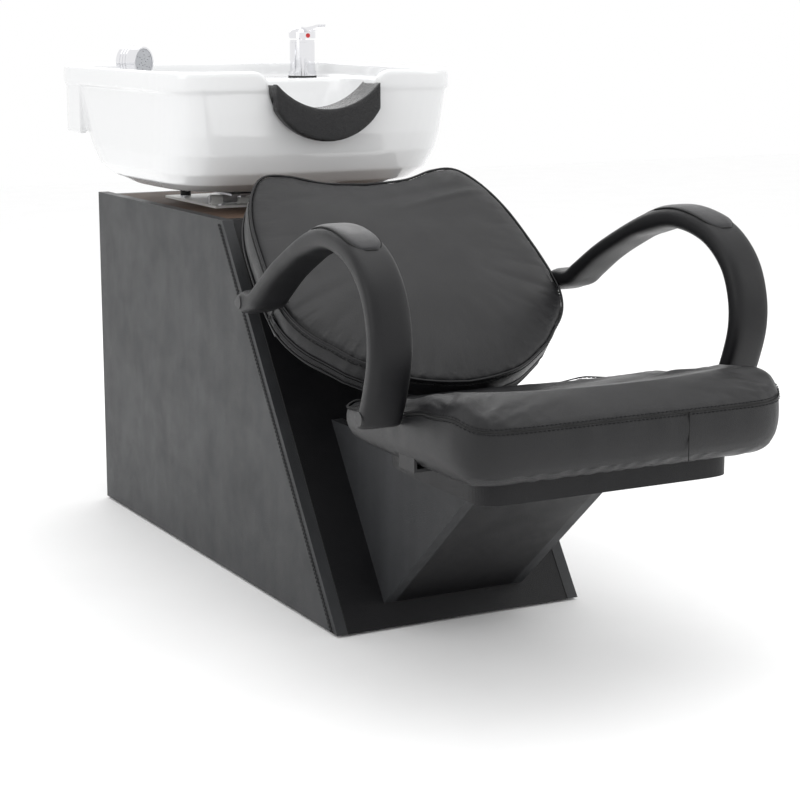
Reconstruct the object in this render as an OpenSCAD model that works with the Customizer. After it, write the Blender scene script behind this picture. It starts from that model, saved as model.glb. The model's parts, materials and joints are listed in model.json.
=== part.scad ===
// Shampoo backwash unit: a padded seat, backrest and armrests joined to a
// cabinet that carries a tilting ceramic basin with its tap and hand shower.
// X is to the sitter's left, Y runs from the seat's front to the basin's back,
// Z is up. The origin is on the floor at the centre of the unit. Millimetres.

/* [Cabinet] */
// Outside width of the cabinet
cab_w = 400; // [340:10:480]
// Height of the cabinet's side panels above the floor
cab_h = 550; // [480:10:640]
// Length of the cabinet at floor level
cab_base_l = 934; // [820:10:1100]
// Length of the cabinet at its top
cab_top_l = 548; // [480:10:640]
// Thickness of the upholstered panels
panel_t = 18; // [12:1:24]
// Depth of the top board below the panels' top edge
top_recess = 4; // [2:1:12]
// Thickness of the floor glides
glide_h = 3; // [2:1:8]
// Thickness of the rear access panel
rear_t = 12; // [9:1:18]

/* [Plinth] */
// Outside width of the plinth under the seat
plinth_w = 230; // [180:5:300]
// Reach of the plinth's front edge from the slanted face at that height
plinth_reach = 390; // [300:5:440]
// Height of the plinth's front edge
plinth_front_h = 244; // [200:2:255]
// Height where the plinth's lower edge meets the slanted face
plinth_foot_h = 33; // [20:1:80]

/* [Seat] */
// Height of the seat board's upper face
seat_h = 300; // [285:5:340]
// Thickness of the seat board
seat_board_t = 30; // [18:1:36]
// Length of the seat cushion
seat_l = 435; // [380:5:500]
// Distance from the slanted face to the seat cushion's rear end
seat_gap = 206.5; // [190:0.5:260]
// Thickness of the seat cushion at its rear edge
seat_rear_t = 32; // [20:1:50]
// Thickness of the seat cushion at its front crest
seat_front_t = 112; // [80:1:130]

/* [Backrest] */
// Angle of the backrest from the horizontal
back_a = 38.7; // [35:0.1:42]
// Distance from the slanted face to the backrest's front face, at mid height
back_gap = 210; // [200:1:230]
// Depth of the backrest cushion's side band
back_t = 52; // [44:1:60]
// Crown of the backrest's front face
back_crown = 14; // [6:1:24]
// Thickness of the backrest board
back_board_t = 15; // [12:1:20]

/* [Armrests] */
// Overall width over the armrests
overall_w = 600; // [560:5:660]
// Width of an armrest
arm_w = 57; // [45:1:62]
// Thickness of an armrest
arm_t = 27; // [22:1:30]
// Angle by which each armrest turns in towards the rear
arm_toe = 2; // [0:0.5:3]
// Thickness of the soft pad on an armrest
arm_pad_t = 8; // [5:1:10]

/* [Basin] */
// Height of the basin's rim above the floor
rim_h = 770; // [740:5:820]
// Length of the basin
basin_l = 530; // [480:5:600]
// Width of the basin's rim at mid length
basin_w = 509; // [460:1:540]
// Height of the basin's rim band
rim_band = 32; // [24:1:40]
// Thickness of the ceramic at the rim
rim_t = 15; // [12:1:20]
// Depth of the tap deck below the rim
deck_drop = 26; // [16:1:34]
// Half width of the neck notch at the rim
notch_a = 95; // [80:1:110]
// Depth of the neck notch below the rim
notch_d = 102; // [85:1:115]
// Drain hole diameter
drain_d = 46; // [42:1:52]
// Tap hole diameter
tap_hole_d = 35; // [33:1:38]
// Shower collar hole diameter
shower_hole_d = 30; // [28:1:34]

/* [Tap and shower] */
// Diameter of the tap's body
tap_d = 45; // [40:1:50]
// Height of the tap's body above the deck
tap_h = 62; // [54:1:72]
// Diameter of the shower head
head_d = 52; // [44:1:60]
// Length of the shower head
head_l = 40; // [34:1:50]
// Diameter of the shower handle
handle_d = 22; // [20:1:24]
// Length of the shower handle below the head
handle_l = 86; // [70:1:100]

/* [Fits] */
// Radial clearance of a turning or sliding fit
run_fit = 0.05; // [0.03:0.01:0.10]
// Clearance between cushions and hard parts of other bodies
soft_gap = 0.5; // [0.3:0.1:2]

/* [Hidden] */
$fn = 48;
eps = 0.01;

// Places along Y
half_l = 700;
basin_back = half_l;
basin_front = basin_back - basin_l;
cab_back = basin_back - 35;
cab_top_front = cab_back - cab_top_l;
cab_foot = cab_back - cab_base_l;
ramp_a = atan2(cab_h, cab_top_front - cab_foot);
function ramp_y(z) = cab_foot + z / tan(ramp_a);
// The inner face of the slanted board lies this far behind, along Y
ramp_dy = panel_t / sin(ramp_a);
inner_x = cab_w / 2 - panel_t;
top_z = cab_h - top_recess;
top_board_z = top_z - panel_t;
floor_top_z = glide_h + panel_t;
batten = 20;

// Seat places
seat_rear = ramp_y(seat_h) - seat_gap;
seat_front = seat_rear - seat_l;
plinth_top = seat_h - seat_board_t;
plinth_front = ramp_y(plinth_front_h) - plinth_reach;
plinth_in = plinth_w / 2 - panel_t;

// Backrest frame: origin on the seam plane at mid height, s up the slope
back_z = 450;
back_y = ramp_y(back_z) - back_gap;
function back_yz(s, n) = [
    back_y + s * cos(back_a) - n * sin(back_a),
    back_z + s * sin(back_a) + n * cos(back_a)
];

// Armrest centre line from the rear nose to the foot, measured back from the
// seat's front and up from the seat board
ARM_LINE = [
    [563, 163], [530, 169], [508, 183], [460, 214], [410, 240], [360, 262],
    [300, 279], [250, 278], [200, 262], [162, 229], [144, 187], [142, 145],
    [154, 102], [168, 70]
];
ARM_STEPS = 6;
arm_nose = [seat_front + ARM_LINE[0][0], seat_h + ARM_LINE[0][1]];
arm_foot = [seat_front + ARM_LINE[13][0], seat_h + ARM_LINE[13][1]];
// How far the armrest reaches in front of its foot
arm_lead = ARM_LINE[13][0] - ARM_LINE[11][0] + arm_t / 2;
arm_in = overall_w / 2 - arm_w * cos(arm_toe) - arm_lead * sin(arm_toe);
function arm_in_at(y) = arm_in - (y - arm_foot[0]) * tan(arm_toe);
seat_half = arm_in - soft_gap;
back_half = arm_in_at(arm_nose[0]) - soft_gap;
arm_bolt_r = 4;

// Zip along the lower half of the backrest's side band
zip_r = 120;
zip_c = [back_half - zip_r, 22];
zip_n = -back_t + 12;
zip_w = 7;
zip_t = 2;

// Basin places
deck_z = rim_h - deck_drop;
deck_t = 14;
basin_bottom = rim_h - 197;
bowl_floor = basin_bottom + 24;
cradle_t = 3;
pad_t = 3;
base_t = 4;
cradle_top = basin_bottom - pad_t;
base_top = top_z + base_t;
pivot_y = basin_front + 190;
pivot_z = (cradle_top - cradle_t + base_top) / 2;
knuckle_r = 7;
tilt_pin_r = 4;
bush_r = 5.5;
drain_y = basin_front + 250;
waste_r = 22.4;
tap_x = 175;
tap_y = basin_back - 82;
shower_x = -148;
shower_y = basin_back - 92;
notch_zc = rim_h - 15;

// ---- shape helpers -------------------------------------------------------

// Smooth curve through the points, as a Catmull-Rom spline
function cr(a, b, c, d, t) = 0.5 * ((2 * b) + (c - a) * t
    + (2 * a - 5 * b + 4 * c - d) * t * t
    + (3 * b - a - 3 * c + d) * t * t * t);
function curve(p, n) = [
    for (i = [0 : len(p) - 2], k = [0 : n - 1])
        cr(p[max(i - 1, 0)], p[i], p[i + 1], p[min(i + 2, len(p) - 1)], k / n),
    p[len(p) - 1]
];
function reverse(p) = [for (i = [len(p) - 1 : -1 : 0]) p[i]];
function mirrored(p) = [for (q = p) [-q[0], q[1]]];
function arc(c, r, a0, a1, n) = [
    for (i = [0 : n]) let (a = a0 + (a1 - a0) * i / n)
        [c[0] + r * cos(a), c[1] + r * sin(a)]
];
function spow(v, p) = sign(v) * pow(abs(v), 2 / p);
// Rounded oblong between two ends along Y. A higher power gives tighter
// corners: p at the front, q at the rear. Taper widens it towards +Y.
function oblong(w, y0, y1, p, n, taper, q) = [
    for (i = [0 : n - 1]) let (a = 360 * i / n, e = sin(a) > 0 ? q : p, s = spow(sin(a), e))
        [w * (1 + taper * s) * spow(cos(a), e), (y0 + y1) / 2 + (y1 - y0) / 2 * s]
];
function at_z(p, z) = [for (q = p) [q[0], q[1], z]];
// Normal of a polyline at point i
function tangent(p, i) =
    let (a = p[max(i - 1, 0)], b = p[min(i + 1, len(p) - 1)], d = b - a)
        d / norm(d);
function offset_line(p, d) = [
    for (i = [0 : len(p) - 1]) let (t = tangent(p, i))
        [p[i][0] - t[1] * d[i], p[i][1] + t[0] * d[i]]
];

// Profile in the YZ plane, extruded along X from x
module yz(x, t) translate([x, 0, 0]) rotate([90, 0, 90]) linear_extrude(t) children();
// Profile in the XZ plane, extruded along Y from y
module xz(y, t) translate([0, y + t, 0]) rotate([90, 0, 0]) linear_extrude(t) children();
// Local frame on the slanted face: y runs up the slope, z points outwards
module on_ramp() translate([0, cab_foot, 0]) rotate([ramp_a, 0, 0]) children();
// Local frame on the backrest's seam plane
module on_back() translate([0, back_y, back_z]) rotate([back_a, 0, 0]) children();
module both_sides() {
    children();
    mirror([1, 0, 0]) children();
}
module rod(r, z0, z1) translate([0, 0, z0]) cylinder(r = r, h = z1 - z0);
module hex(r, z0, z1) translate([0, 0, z0]) cylinder(r = r, h = z1 - z0, $fn = 6);

// ---- cabinet -------------------------------------------------------------

module cabinet_side(x) yz(x, panel_t) polygon([
    [ramp_y(glide_h), glide_h], [cab_back, glide_h],
    [cab_back, cab_h], [cab_top_front, cab_h]
]);
module cabinet_side_left() color("#2b2b2d") cabinet_side(inner_x);
module cabinet_side_right() color("#2b2b2d") cabinet_side(-inner_x - panel_t);

// Holes through the slanted board for the plinth's and the backrest's bolts
module ramp_holes(r) {
    on_ramp() for (x = [-1, 1] * (plinth_in - 24), s = plinth_bolt_s)
        translate([x, s, 0]) rod(r, -40, 40);
    on_ramp() for (x = [-1, 1] * bracket_x, s = bracket_ramp_s)
        translate([x + sign(x) * bracket_hole_dx, s, 0]) rod(r, -40, 40);
}
plinth_bolt_s = [100, 235];
bracket_x = 80;
bracket_hole_dx = -11;
bracket_ramp_s = [430, 560];
ramp_bolt_r = 4;

module cabinet_ramp_board() color("#1d1d1f") difference() {
    yz(-inner_x, 2 * inner_x) polygon([
        [ramp_y(glide_h), glide_h], [ramp_y(cab_h), cab_h],
        [ramp_y(cab_h) + ramp_dy, cab_h], [ramp_y(glide_h) + ramp_dy, glide_h]
    ]);
    ramp_holes(ramp_bolt_r + run_fit);
}

module cabinet_floor_board() color("#8a6a48") difference() {
    yz(-inner_x, 2 * inner_x) polygon([
        [ramp_y(glide_h) + ramp_dy, glide_h], [cab_back - rear_t, glide_h],
        [cab_back - rear_t, floor_top_z], [ramp_y(floor_top_z) + ramp_dy, floor_top_z]
    ]);
    translate([0, drain_y, 0]) rod(60, -1, floor_top_z + 1);
}

module cabinet_top_board() color("#4a3322") difference() {
    yz(-inner_x, 2 * inner_x) polygon([
        [ramp_y(top_board_z) + ramp_dy, top_board_z], [cab_back - rear_t, top_board_z],
        [cab_back - rear_t, top_z], [ramp_y(top_z) + ramp_dy, top_z]
    ]);
    translate([0, drain_y + 4, 0]) rod(waste_r + 20, top_board_z - 1, top_z + 1);
    tilt_screw_places() rod(tilt_screw_r, top_board_z + 4, top_z + 1);
}

// Timber strips that join the boards: floor, top and rear, on both sides
module cabinet_battens() color("#c8a878") both_sides() {
    side = inner_x - batten;
    y_end = cab_back - rear_t;
    y_floor = ramp_y(floor_top_z) + ramp_dy + 40;
    y_top = ramp_y(top_board_z) + ramp_dy + 6;
    translate([side, y_floor, floor_top_z]) cube([batten, y_end - y_floor, batten]);
    translate([side, y_top, top_board_z - batten]) cube([batten, y_end - y_top, batten]);
    difference() {
        translate([side, y_end - batten, floor_top_z + batten + 0.5])
            cube([batten, batten, top_board_z - floor_top_z - 2 * batten - 1]);
        rear_screw_places() rod(rear_screw_r, -rear_screw_l, 1);
    }
}
rear_screw_r = 2;
rear_screw_l = 14;
// Screw axes on the rear panel's outer face, pointing out of the cabinet
module rear_screw_places() for (x = [-1, 1], z = [90, cab_h - 90])
    translate([x * (inner_x - batten / 2), cab_back - rear_t, z]) rotate([-90, 0, 0]) children();

module rear_access_panel() color("#2b2b2d") difference() {
    translate([-inner_x, cab_back - rear_t, glide_h])
        cube([2 * inner_x, rear_t, top_z - glide_h]);
    // Notch for the supply and drain lines
    translate([-90, cab_back - rear_t - 1, glide_h - 1]) cube([180, rear_t + 2, 70]);
    rear_screw_places() rod(rear_screw_r, -1, rear_t + 1);
}
module rear_panel_screws() color("silver") rear_screw_places() {
    rod(rear_screw_r, -rear_screw_l, rear_t);
    rod(4, rear_t, rear_t + 2);
}
glide_r = 14;
module floor_glides() color("#1a1a1a") both_sides()
    for (y = [ramp_y(0) + 90, cab_back - 40])
        translate([inner_x - 18, y, 0]) rod(glide_r, 0, glide_h);

// ---- plinth --------------------------------------------------------------

plinth_under = [
    [ramp_y(plinth_foot_h), plinth_foot_h], [plinth_front, plinth_front_h]
];
plinth_slope = atan2(plinth_front_h - plinth_foot_h, ramp_y(plinth_foot_h) - plinth_front);
rail_h = 20;
rail_l = 36;
rail_front = plinth_front + 26;
rail_rear = ramp_y(plinth_top) - rail_l - 60;

module plinth_side(x) yz(x, panel_t) polygon(concat(plinth_under, [
    [plinth_front + 13, plinth_top], [ramp_y(plinth_top), plinth_top]
]));
module plinth_side_left() color("#2b2b2d") plinth_side(plinth_in);
module plinth_side_right() color("#2b2b2d") plinth_side(-plinth_in - panel_t);

module plinth_front_board() color("#1d1d1f") {
    t = 15;
    dy = t / sin(plinth_slope);
    up = dy / (cos(plinth_slope) + sin(plinth_slope) / tan(ramp_a));
    foot = plinth_under[0];
    yz(-plinth_in, 2 * plinth_in) polygon(concat(plinth_under, [
        [plinth_front + dy, plinth_front_h],
        [foot[0] + dy - up * cos(plinth_slope), foot[1] + up * sin(plinth_slope)]
    ]));
}

// Cross rails under the seat board, and the rail that is bolted to the cabinet
module plinth_rails() color("#c8a878") difference() {
    union() {
        for (y = [rail_front, rail_rear])
            translate([-plinth_in, y, plinth_top - rail_h]) cube([2 * plinth_in, rail_l, rail_h]);
        on_ramp() translate([-plinth_in, plinth_bolt_s[0] - 20, 0.02])
            cube([2 * plinth_in, plinth_bolt_s[1] - plinth_bolt_s[0] + 40, rail_h - 0.02]);
    }
    seat_bolt_places() rod(seat_bolt_r + run_fit, -1, 40);
    ramp_holes(ramp_bolt_r + run_fit);
}
module plinth_bolts() color("silver") on_ramp()
    for (x = [-1, 1] * (plinth_in - 24), s = plinth_bolt_s)
        translate([x, s, 0]) {
            rod(ramp_bolt_r, -panel_t, rail_h);
            hex(7, rail_h, rail_h + 5);
            hex(7, -panel_t - 6, -panel_t);
        }

// ---- seat ----------------------------------------------------------------

seat_bolt_r = 4;
// Seat bolt axes, from the rails' underside upwards
module seat_bolt_places() for (x = [-60, 60], y = [rail_front, rail_rear])
    translate([x, y + rail_l / 2, plinth_top - rail_h]) children();
module seat_bolts() color("silver") seat_bolt_places() {
    rod(seat_bolt_r, 0, rail_h + seat_board_t - 8);
    hex(7, -5, 0);
}

function seat_plan(inset) = oblong(
    seat_half - inset, seat_front + inset, seat_rear - inset, 12, 64, -0.02, 3.5);
module seat_board() color("#1a1a1a") difference() {
    translate([0, 0, plinth_top]) linear_extrude(seat_board_t) polygon(seat_plan(55));
    seat_bolt_places() rod(seat_bolt_r + run_fit, -1, rail_h + seat_board_t - 8);
}

// Wedge-shaped cushion, thin at the rear and high at the front crest
module seat_cushion() color("#303032") difference() {
    rise = seat_front_t - seat_rear_t;
    slope = atan2(rise, seat_l);
    hull() {
        translate([0, 0, seat_h]) linear_extrude(1) polygon(seat_plan(10));
        translate([0, 0, seat_h + seat_rear_t * 0.4]) linear_extrude(1) polygon(seat_plan(0));
        translate([0, seat_rear, seat_h + seat_rear_t - 9]) rotate([-slope, 0, 0])
            translate([0, -seat_rear, 0]) linear_extrude(1) polygon(seat_plan(1));
        translate([0, seat_rear, seat_h + seat_rear_t]) rotate([-slope, 0, 0])
            translate([0, -seat_rear, -1]) linear_extrude(1) polygon(seat_plan(18));
    }
    arm_bracket_shapes(foot_only = true, grow = run_fit);
    arm_bolt_shapes(grow = run_fit);
}

// ---- backrest ------------------------------------------------------------

// Right half of the outline from the dip at the top to the bottom, seen from
// the front: shoulders, a straight flank, the zip's arc and a blunt toe
function back_half_outline(d = 0) = let (w = back_half - d) concat(
    curve([
        [0, 243 - d], [w * 0.30, 249 - d], [w * 0.54, 267 - d], [w * 0.72, 267 - d],
        [w * 0.85, 232 - d], [w * 0.94, 174], [w * 0.985, 100], [w, 50], [w, zip_c[1]]
    ], 6),
    [for (p = arc(zip_c, zip_r - d, -5, -50, 9)) p],
    curve([[w * 0.70, -97 + d], [w * 0.44, -136 + d], [w * 0.2, -152 + d], [0, -157 + d]], 4)
);
function back_outline(d = 0) = let (h = back_half_outline(d))
    concat(h, [for (p = reverse(h)) if (p[0] > 1) [-p[0], p[1]]]);

module back_board() color("#3a2c20") difference() {
    on_back() translate([0, 0, -back_t - back_board_t]) linear_extrude(back_board_t)
        polygon(back_outline(14));
    bracket_board_holes(back_bolt_r + run_fit);
    arm_bracket_shapes(nose_only = true, grow = run_fit);
}
module back_cushion() color("#303032") difference() {
    on_back() {
        translate([0, 0, -back_t]) linear_extrude(back_t) polygon(back_outline(0));
        linear_extrude(back_crown * 0.6) polygon(back_outline(12));
        linear_extrude(back_crown) polygon(back_outline(34));
    }
    arm_bracket_shapes(nose_only = true, grow = run_fit);
    arm_bolt_shapes(grow = run_fit);
}

// Two steel stand-off brackets between the cabinet and the backrest board
bracket_t = 5;
bracket_s = [-60, 120];
back_bolt_r = 4;
module bracket_board_holes(r) on_back()
    for (x = [-1, 1] * bracket_x, s = [bracket_s[0] + 30, bracket_s[1] - 30])
        translate([x + sign(x) * bracket_hole_dx, s, -back_t - back_board_t])
            rod(r, -30, back_board_t - 3);
module back_brackets() color("#1a1a1a") difference() {
    n = -back_t - back_board_t;
    a = back_yz(bracket_s[0], n);
    b = back_yz(bracket_s[1], n);
    r0 = bracket_ramp_s[0] - 20;
    r1 = bracket_ramp_s[1] + 20;
    union() for (m = [-1, 1]) {
        x = m * bracket_x;
        yz(x - bracket_t / 2, bracket_t) polygon([
            a, b,
            [cab_foot + r1 * cos(ramp_a), r1 * sin(ramp_a)],
            [cab_foot + r0 * cos(ramp_a), r0 * sin(ramp_a)]
        ]);
        on_back() translate([x - 10 * m - 13.5, bracket_s[0] - 3, n - bracket_t])
            cube([27, bracket_s[1] - bracket_s[0] + 6, bracket_t]);
        on_ramp() translate([x - 10 * m - 13.5, r0 - 3, 0]) cube([27, r1 - r0 + 6, bracket_t]);
    }
    bracket_board_holes(back_bolt_r + run_fit);
    ramp_holes(ramp_bolt_r + run_fit);
}
module back_bolts() color("silver") {
    on_back() for (x = [-1, 1] * bracket_x, s = [bracket_s[0] + 30, bracket_s[1] - 30])
        translate([x + sign(x) * bracket_hole_dx, s, -back_t - back_board_t]) {
            rod(back_bolt_r, -bracket_t, back_board_t - 3);
            hex(7, -bracket_t - 5, -bracket_t);
        }
    on_ramp() for (x = [-1, 1] * bracket_x, s = bracket_ramp_s)
        translate([x + sign(x) * bracket_hole_dx, s, 0]) {
            rod(ramp_bolt_r, -panel_t, bracket_t);
            hex(7, bracket_t, bracket_t + 5);
            hex(7, -panel_t - 6, -panel_t);
        }
}

// Zip chain round the lower half of the side band
module zip_tape() color("#151515") on_back() translate([0, 0, zip_n - zip_w / 2])
    linear_extrude(zip_w) {
        h = [for (p = back_half_outline(0)) if (p[1] < zip_c[1] - 4) p];
        line = concat(h, [for (p = reverse(h)) if (p[0] > 1) [-p[0], p[1]]]);
        n = len(line);
        polygon(concat(
            offset_line(line, [for (i = [1 : n]) zip_t]),
            reverse(offset_line(line, [for (i = [1 : n]) 0.05]))
        ));
    }
// Slider straddling the chain at the sitter's left; it runs along the arc
zip_slider_a = -6;
zip_lug_r = 1.2;
zip_lug = zip_r + zip_t + 5;
module on_zip() on_back() translate([zip_c[0], zip_c[1], zip_n])
    rotate([0, 0, zip_slider_a]) children();
module zip_slider() color("silver") on_zip() difference() {
    union() {
        intersection() {
            rotate([0, 0, -4]) rotate_extrude(angle = 8)
                translate([zip_r + zip_t + 0.4, -6]) square([2.2, 12]);
            translate([0, -50, -20]) cube([300, 100, 40]);
        }
        translate([zip_r + zip_t + 2.4, -4, -5]) cube([4.4, 8, 2.5]);
        translate([zip_r + zip_t + 2.4, -4, 2.5]) cube([4.4, 8, 2.5]);
    }
    translate([zip_lug, 0, -10]) cylinder(r = zip_lug_r + run_fit, h = 20);
}
module zip_pull() color("silver") on_zip() translate([zip_lug, 0, 0])
    rotate([0, 0, -zip_slider_a]) {
        translate([0, 0, -5]) cylinder(r = zip_lug_r, h = 10);
        translate([-0.8, -22, -2.2]) cube([1.6, 22, 4.4]);
    }

// ---- armrests ------------------------------------------------------------

// Places a shape made against the YZ plane on the armrest's inner face
module on_arm() translate([arm_in, arm_foot[0], 0]) rotate([0, 0, arm_toe])
    translate([0, -arm_foot[0], 0]) children();
function arm_line() = [for (p = curve(ARM_LINE, 6)) [seat_front + p[0], seat_h + p[1]]];
function even(n, v) = [for (i = [1 : n]) v];
// The pad runs over the front of the crest
pad_from = ARM_STEPS * 5 - 2;
pad_to = ARM_STEPS * 8;

function arm_band(line, d0, d1) = concat(
    offset_line(line, even(len(line), d0)), reverse(offset_line(line, even(len(line), d1))));
function slice(p, a, b) = [for (i = [a : b]) p[i]];

module armrest_shape() difference() {
    union() {
        yz(0, arm_w) polygon(arm_band(arm_line(), arm_t / 2, -arm_t / 2));
        for (p = [arm_nose, arm_foot]) translate([0, p[0], p[1]]) rotate([0, 90, 0])
            cylinder(r = arm_t / 2, h = arm_w);
    }
    // Seat for the soft pad, and the counterbored bolt holes
    yz(5, arm_w - 10) polygon(arm_band(
        slice(arm_line(), pad_from, pad_to), -arm_t / 2 - 5, -arm_t / 2 + arm_pad_t / 2));
    for (p = [arm_nose, arm_foot]) translate([0, p[0], p[1]]) rotate([0, 90, 0]) {
        translate([0, 0, -1]) cylinder(r = arm_bolt_r + run_fit, h = arm_w + 2);
        translate([0, 0, arm_cbore]) cylinder(r = cap_r, h = arm_w);
    }
}
arm_cbore = arm_w - 18;
cap_r = 9;
module armrest_left() color("#262628") on_arm() armrest_shape();
module armrest_right() color("#262628") mirror([1, 0, 0]) on_arm() armrest_shape();

module arm_pad_shape() yz(5, arm_w - 10) polygon(arm_band(
    slice(arm_line(), pad_from, pad_to), -arm_t / 2 - arm_pad_t / 2 + 1,
    -arm_t / 2 + arm_pad_t / 2));
module arm_pad_left() color("#323234") on_arm() arm_pad_shape();
module arm_pad_right() color("#323234") mirror([1, 0, 0]) on_arm() arm_pad_shape();

// Bolts from the counterbores into the steel side brackets
module arm_bolt_shapes(grow = 0) both_sides() on_arm()
    for (p = [arm_nose, arm_foot]) translate([0, p[0], p[1]]) rotate([0, 90, 0])
        rod(arm_bolt_r + grow, -16 - grow, arm_cbore);
module arm_bolts() color("silver") {
    arm_bolt_shapes();
    both_sides() on_arm() for (p = [arm_nose, arm_foot])
        translate([arm_cbore, p[0], p[1]]) rotate([0, 90, 0])
            difference() {
                cylinder(r = 7, h = 7);
                translate([0, 0, 3]) cylinder(r = 3, h = 7, $fn = 6);
            }
}
module arm_bolt_caps() color("#1a1a1a") both_sides() on_arm()
    for (p = [arm_nose, arm_foot]) translate([0, p[0], p[1]]) rotate([0, 90, 0])
        rod(cap_r - run_fit, arm_w - 6, arm_w + 1);

// Steel plates that carry the armrests: one inside each cushion's flank
arm_bracket_t = 4;
arm_bracket_in = 8;
arm_foot_l = 85;
module arm_bracket_shapes(foot_only = false, nose_only = false, grow = 0) both_sides() {
    if (!nose_only) {
        x = arm_in - arm_bracket_in - arm_bracket_t;
        h = arm_foot[1] + 6 - seat_h;
        translate([x - grow, arm_foot[0] - 20 - grow, seat_h - grow])
            cube([arm_bracket_t + 2 * grow, 40 + 2 * grow, h + 2 * grow]);
        translate([x - arm_foot_l - grow, arm_foot[0] - 20 - grow, seat_h - grow])
            cube([arm_foot_l + arm_bracket_t + 2 * grow, 40 + 2 * grow, arm_bracket_t + 2 * grow]);
    }
    if (!foot_only) {
        x = back_half - arm_bracket_in - arm_bracket_t;
        on_back() translate([x - grow, arm_nose_s - 16 - grow, -back_t - back_board_t - grow])
            cube([arm_bracket_t + 2 * grow, 32 + 2 * grow,
                back_t + back_board_t + arm_nose_n + 12 + 2 * grow]);
        on_back() translate([x - 40 - grow, arm_nose_s - 16 - grow,
            -back_t - back_board_t - grow])
            cube([40 + arm_bracket_t + 2 * grow, 32 + 2 * grow, arm_bracket_t + 2 * grow]);
    }
}
arm_nose_s = (arm_nose[0] - back_y) * cos(back_a) + (arm_nose[1] - back_z) * sin(back_a);
arm_nose_n = -(arm_nose[0] - back_y) * sin(back_a) + (arm_nose[1] - back_z) * cos(back_a);
module arm_brackets() color("#1a1a1a") difference() {
    arm_bracket_shapes();
    arm_bolt_shapes(grow = run_fit);
}

// ---- basin ---------------------------------------------------------------

// Closed skin through rings of equal point count, first and last ring flat
module loft(rings) {
    n = len(rings[0]);
    m = len(rings);
    polyhedron(
        points = [for (r = rings, p = r) p],
        faces = concat(
            [[for (k = [0 : n - 1]) k]],
            [for (i = [0 : m - 2], k = [0 : n - 1])
                [i * n + k, (i + 1) * n + k, (i + 1) * n + (k + 1) % n]],
            [for (i = [0 : m - 2], k = [0 : n - 1])
                [i * n + k, (i + 1) * n + (k + 1) % n, i * n + (k + 1) % n]],
            [[for (k = [n - 1 : -1 : 0]) (m - 1) * n + k]]
        )
    );
}

rim_half = basin_w / 2;
RING_N = 64;
// Corner powers of the rim's plan, and how much it widens towards the rear
rim_p = 9;
rim_q = 14;
rim_taper = 0.018;
// One ring: depth below the rim, inset at the sides, at the front, at the rear
function basin_ring(d, side, front, rear, p = rim_p, q = rim_q) = at_z(oblong(
    rim_half - side, basin_front + front, basin_back - rear, p, RING_N, rim_taper, q), rim_h - d);
basin_outside = [
    basin_ring(197, 104, 128, 150, 3, 3), basin_ring(192, 64, 82, 106, 3.6, 3.6),
    basin_ring(178, 36, 45, 86, 4.6, 4.6), basin_ring(160, 20, 25, 76, 5.4, 5.6),
    basin_ring(130, 13, 12, 66, 6.4, 6.6), basin_ring(100, 10.5, 6, 60, 7.2, 8),
    basin_ring(65, 8.5, 3, 50, 8, 9), basin_ring(rim_band + 2, 7, 2, 44, 9, 12),
    basin_ring(rim_band, 4.5, 1.5, 36, 9, 13),
    basin_ring(rim_band - 2, 0, 0, 0), basin_ring(5, 0, 0, 0),
    basin_ring(1.5, 1.5, 1.5, 1.5), basin_ring(0, 5, 5, 5)
];
basin_inside = [
    basin_ring(0, rim_t - 5, rim_t - 5, rim_t - 5),
    basin_ring(1.5, rim_t - 1.5, rim_t - 1.5, rim_t - 1.5),
    basin_ring(6, rim_t, rim_t, rim_t),
    basin_ring(deck_drop - 4, rim_t + 3, rim_t + 2, rim_t + 2),
    basin_ring(deck_drop - 1, rim_t + 6, rim_t + 4, rim_t + 5),
    basin_ring(deck_drop, rim_t + 9, rim_t + 5, rim_t + 9),
    basin_ring(deck_drop, rim_t + 9.5, rim_t + 5.5, 122),
    basin_ring(deck_drop + 4, rim_t + 10, rim_t + 6, 129),
    basin_ring(50, 26, 21, 132, 8, 9), basin_ring(80, 29, 23, 140, 6.4, 7),
    basin_ring(110, 37, 30, 150, 5.2, 5.4), basin_ring(135, 54, 46, 168, 4, 4.2),
    basin_ring(155, 86, 76, 192, 3.2, 3.2), basin_ring(169, 134, 120, 222, 2.6, 2.6),
    basin_ring(rim_h - bowl_floor, 178, 168, 238, 2.2, 2.2)
];
skirt_top = deck_z - 1;
skirt_bottom = rim_h - 113;
skirt_y = basin_back - 104;
pocket_y = basin_back - 117;
// The rim's plan behind y, set in by inset all round and by more at the sides
module skirt_plan(inset, y, more = 0) intersection() {
    polygon(oblong(rim_half - inset - more, basin_front + inset, basin_back - inset,
        rim_p, 2 * RING_N, rim_taper, rim_q));
    translate([-rim_half, y]) square([2 * rim_half, basin_l]);
}
bolt_x = 70;
basin_bolt_y = [drain_y - 80, drain_y + 50];
basin_bolt_r = 4;
module basin_bolt_places() for (x = [-bolt_x, bolt_x], y = basin_bolt_y)
    translate([x, y, 0]) children();
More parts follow.
